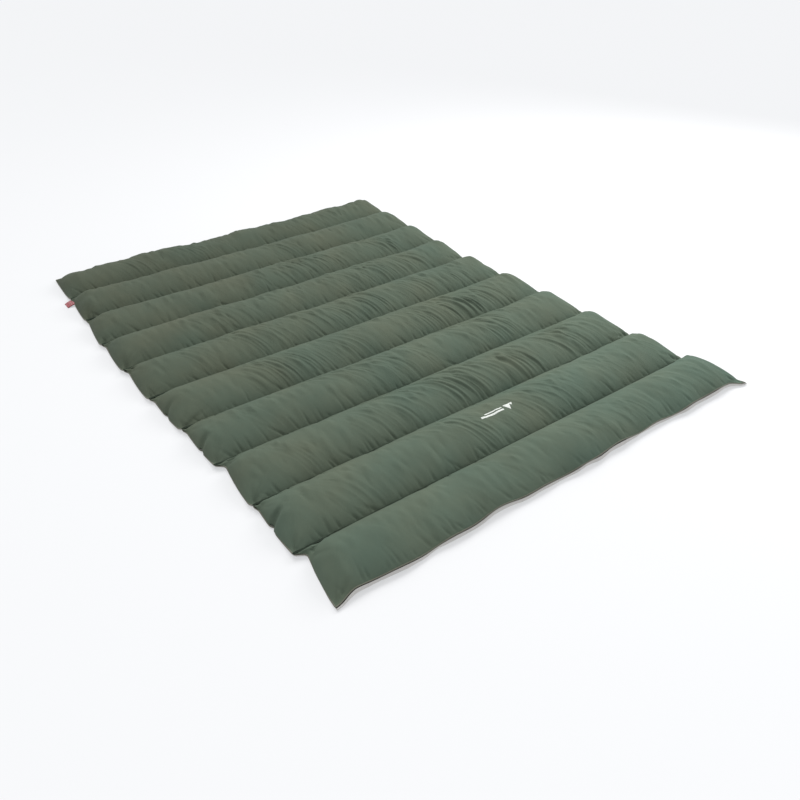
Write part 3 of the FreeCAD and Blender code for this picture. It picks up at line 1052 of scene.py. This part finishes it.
def rounded_edge(line):
    """A flattened tube along a line, level all the way."""
    steps = np.gradient(line, axis=0)
    steps[:, 2] = 0
    lengths = np.linalg.norm(steps, axis=1, keepdims=True)
    steps = steps / np.maximum(lengths, 1e-9)
    aside = np.stack([-steps[:, 1], steps[:, 0], np.zeros(len(steps))], -1)
    angles = np.linspace(0, 2 * math.pi, EDGE_SIDES, endpoint=False)
    rings = (
        line[:, None, :]
        + aside[:, None, :] * (EDGE_WIDE * np.cos(angles))[None, :, None]
        + np.array((0, 0, 1)) * (EDGE_HIGH * np.sin(angles))[None, :, None]
    )
    return rings.reshape(-1, 3), tube_faces(len(line), EDGE_SIDES)


for channel in range(1, CHANNELS + 1):
    points, faces = [], []
    for line in edge_line(channel):
        keep = np.r_[True, np.linalg.norm(np.diff(line, axis=0), axis=1) > 1e-5]
        ring_points, ring_faces = rounded_edge(line[keep])
        first = len(points)
        points.extend(ring_points)
        faces.extend([[first + i for i in face] for face in ring_faces])
    piece = new_mesh(f"edge_{channel:02d}", points, faces)
    piece.data.materials.append(edge_cloth)
    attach(piece, f"channel_{channel:02d}")
    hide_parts(f"edge_seam_{channel:02d}")


# ---- Loop label -------------------------------------------------------------
# A woven tape folded in half, its cut ends caught in the left edge seam close
# to the first seam. Its upper half is red with small white flecks, its lower black.
LABEL_CHANNEL = 2
TAPE_THICK = 0.0007
TAPE_GAP = 0.0016
TAPE_DROOP = 0.0085
TAPE_CURL = 0.0012
TAPE_SLANT = 0.06
TAPE_LOWEST = 0.0006
# The red face ends after this many steps along the tape.
RED_STEPS = 18
# How far back of the design's place it is sewn, and how much further it reaches.
LABEL_BACK = 0.008
LABEL_PAST = 0.007
# Where the tape leaves the edge: this far in from it, and this far under the seams.
LABEL_IN = 0.001
LABEL_DOWN = 0.0035
label_low, label_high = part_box("loop_label")
label_red, label_tree, label_shader = new_material("label_red")
label_place = label_tree.nodes.new("ShaderNodeTexCoord")
flecks = label_tree.nodes.new("ShaderNodeTexVoronoi")
flecks.inputs["Scale"].default_value = 190.0
label_tree.links.new(label_place.outputs["Object"], flecks.inputs["Vector"])
fleck_ramp = label_tree.nodes.new("ShaderNodeValToRGB")
fleck_ramp.color_ramp.elements[0].position = 0.20
fleck_ramp.color_ramp.elements[0].color = (0.50, 0.36, 0.35, 1)
fleck_ramp.color_ramp.elements[1].position = 0.26
fleck_ramp.color_ramp.elements[1].color = (0.27, 0.016, 0.026, 1)
label_tree.links.new(flecks.outputs["Distance"], fleck_ramp.inputs["Fac"])
label_tree.links.new(fleck_ramp.outputs["Color"], label_shader.inputs["Base Color"])
label_weave = label_tree.nodes.new("ShaderNodeGroup")
label_weave.node_tree = woven_cloth
label_weave.inputs["Threads"].default_value = 1500.0
label_bump = label_tree.nodes.new("ShaderNodeBump")
label_bump.inputs["Strength"].default_value = 0.6
label_bump.inputs["Distance"].default_value = 0.0002
label_tree.links.new(label_weave.outputs["Height"], label_bump.inputs["Height"])
label_tree.links.new(label_bump.outputs["Normal"], label_shader.inputs["Normal"])
label_shader.inputs["Roughness"].default_value = 0.6
label_shader.inputs["Sheen Weight"].default_value = 0.2
label_black = cloth_material(
    "label_black", (0.012, 0.012, 0.014), (0.02, 0.018, 0.018),
    threads=1500.0, nap=0.5, uneven=0.2, bump=0.5, sheen=0.1,
)


def label_path():
    """The tape's middle line in section: out along the top, round, and back."""
    reach = label_high.x - label_low.x + LABEL_PAST
    out = np.linspace(0, 1, 14)
    droop = -TAPE_DROOP * out**1.5
    top = np.stack([-reach * out, droop + TAPE_GAP / 2], -1)
    turn = np.linspace(math.pi / 2, -math.pi / 2, 8)[1:-1]
    tip = np.stack(
        [
            -reach - TAPE_GAP / 2 * np.cos(turn),
            droop[-1] + TAPE_GAP / 2 * np.sin(turn),
        ],
        -1,
    )
    under = np.stack([-reach * out[::-1], droop[::-1] - TAPE_GAP / 2], -1)
    return np.concatenate([top, tip, under])


path = label_path()
label_y = (label_low.y + label_high.y) / 2 + LABEL_BACK
label_v = (HALF_LENGTH - label_y) / PITCH
label_root = (side_x(-1, label_v) + LABEL_IN, SEAM_Z - LABEL_DOWN)
across = label_y + np.linspace(-0.5, 0.5, 12) * (label_high.y - label_low.y)
tape = np.zeros((len(path), len(across), 3))
tape[..., 0] = label_root[0] + path[:, None, 0]
tape[..., 1] = across[None, :] + TAPE_SLANT * path[:, None, 0]
curl = TAPE_CURL * np.sin(np.linspace(0, math.pi, len(across)))[None, :]
tape[..., 2] = label_root[1] + path[:, None, 1] + curl
tape[..., 2] = np.maximum(tape[..., 2], TAPE_LOWEST)
label = new_mesh("label", tape.reshape(-1, 3), grid_faces(*tape.shape[:2])[:, ::-1])
label.data.materials.append(label_red)
label.data.materials.append(label_black)
for polygon in label.data.polygons:
    polygon.material_index = int(polygon.index // (len(across) - 1) > RED_STEPS)
thickness = label.modifiers.new("tape", "SOLIDIFY")
thickness.thickness = TAPE_THICK
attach(label, f"channel_{LABEL_CHANNEL:02d}")
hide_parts("loop_label")


# ---- Printed mark -----------------------------------------------------------
# A plain off-white screen print on the crest of the ninth channel: two hills and
# two bars beside them. It lies as a film on the cloth.
PRINT_CHANNEL = 9
PRINT_LIFT = 0.0005
# The two bars: from where to where across the mark, and how much shorter one is.
LONG_BAR = (-0.0070, -0.0005)
SHORT_BAR = (0.0040, 0.0080)
BAR_SHORTER = 0.020
print_low, print_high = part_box("printed_mark")
print_ink, print_tree, print_shader = new_material("print_ink")
ink_place = print_tree.nodes.new("ShaderNodeTexCoord")
ink_wear = print_tree.nodes.new("ShaderNodeTexNoise")
ink_wear.inputs["Scale"].default_value = 700.0
ink_wear.inputs["Detail"].default_value = 4.0
print_tree.links.new(ink_place.outputs["Object"], ink_wear.inputs["Vector"])
ink_ramp = print_tree.nodes.new("ShaderNodeValToRGB")
ink_ramp.color_ramp.elements[0].position = 0.30
ink_ramp.color_ramp.elements[0].color = (0.36, 0.39, 0.35, 1)
ink_ramp.color_ramp.elements[1].position = 0.55
ink_ramp.color_ramp.elements[1].color = (0.66, 0.68, 0.64, 1)
print_tree.links.new(ink_wear.outputs["Fac"], ink_ramp.inputs["Fac"])
print_tree.links.new(ink_ramp.outputs["Color"], print_shader.inputs["Base Color"])
print_shader.inputs["Roughness"].default_value = 0.7

hill_size = (print_high.y - print_low.y) / 2
print_middle = (print_low + print_high) / 2
hill_x = print_high.x - hill_size


def hill_patch(middle, half, base, top):
    """A solid hill with straight sides, its top towards the front edge."""
    rows = []
    for share in np.linspace(0, 1, 10):
        x = np.linspace(-half, half, 9) * share + middle
        rows.append([(hill_x + k, top + (base - top) * share) for k in x])
    return np.array(rows)


def bar_patch(start, end, low, high):
    """A straight bar along the channel."""
    x, y = np.meshgrid(np.linspace(start, end, 60), np.linspace(low, high, 4))
    return np.stack([x, y], -1)


def laid_on_shell(patch, tree):
    """Lift a flat patch onto the cloth."""
    points = []
    for x, y in patch.reshape(-1, 2):
        above = Vector((x, print_middle.y + y, 1))
        hit = tree.ray_cast(above, Vector((0, 0, -1)))[0]
        points.append((x, above.y, hit.z + PRINT_LIFT))
    return points


bar_start, bar_end = print_low.x, hill_x - 1.8 * hill_size
patches = [
    hill_patch(-0.25 * hill_size, 0.95 * hill_size, 0.8 * hill_size, -hill_size),
    hill_patch(0.95 * hill_size, 0.50 * hill_size, 0.8 * hill_size, 0),
    bar_patch(bar_start, bar_end, *LONG_BAR),
    bar_patch(bar_start + BAR_SHORTER, bar_end, *SHORT_BAR),
]
shell_piece = shell_pieces[PRINT_CHANNEL - 1]
shell_tree = BVHTree.FromPolygons(
    [v.co.copy() for v in shell_piece.data.vertices],
    [list(p.vertices) for p in shell_piece.data.polygons],
)
points, faces = [], []
for patch in patches:
    first = len(points)
    points.extend(laid_on_shell(patch, shell_tree))
    faces.extend((grid_faces(*patch.shape[:2]) + first).tolist())
mark = new_mesh("print", points, faces)
mark.data.materials.append(print_ink)
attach(mark, f"channel_{PRINT_CHANNEL:02d}")
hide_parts("printed_mark")
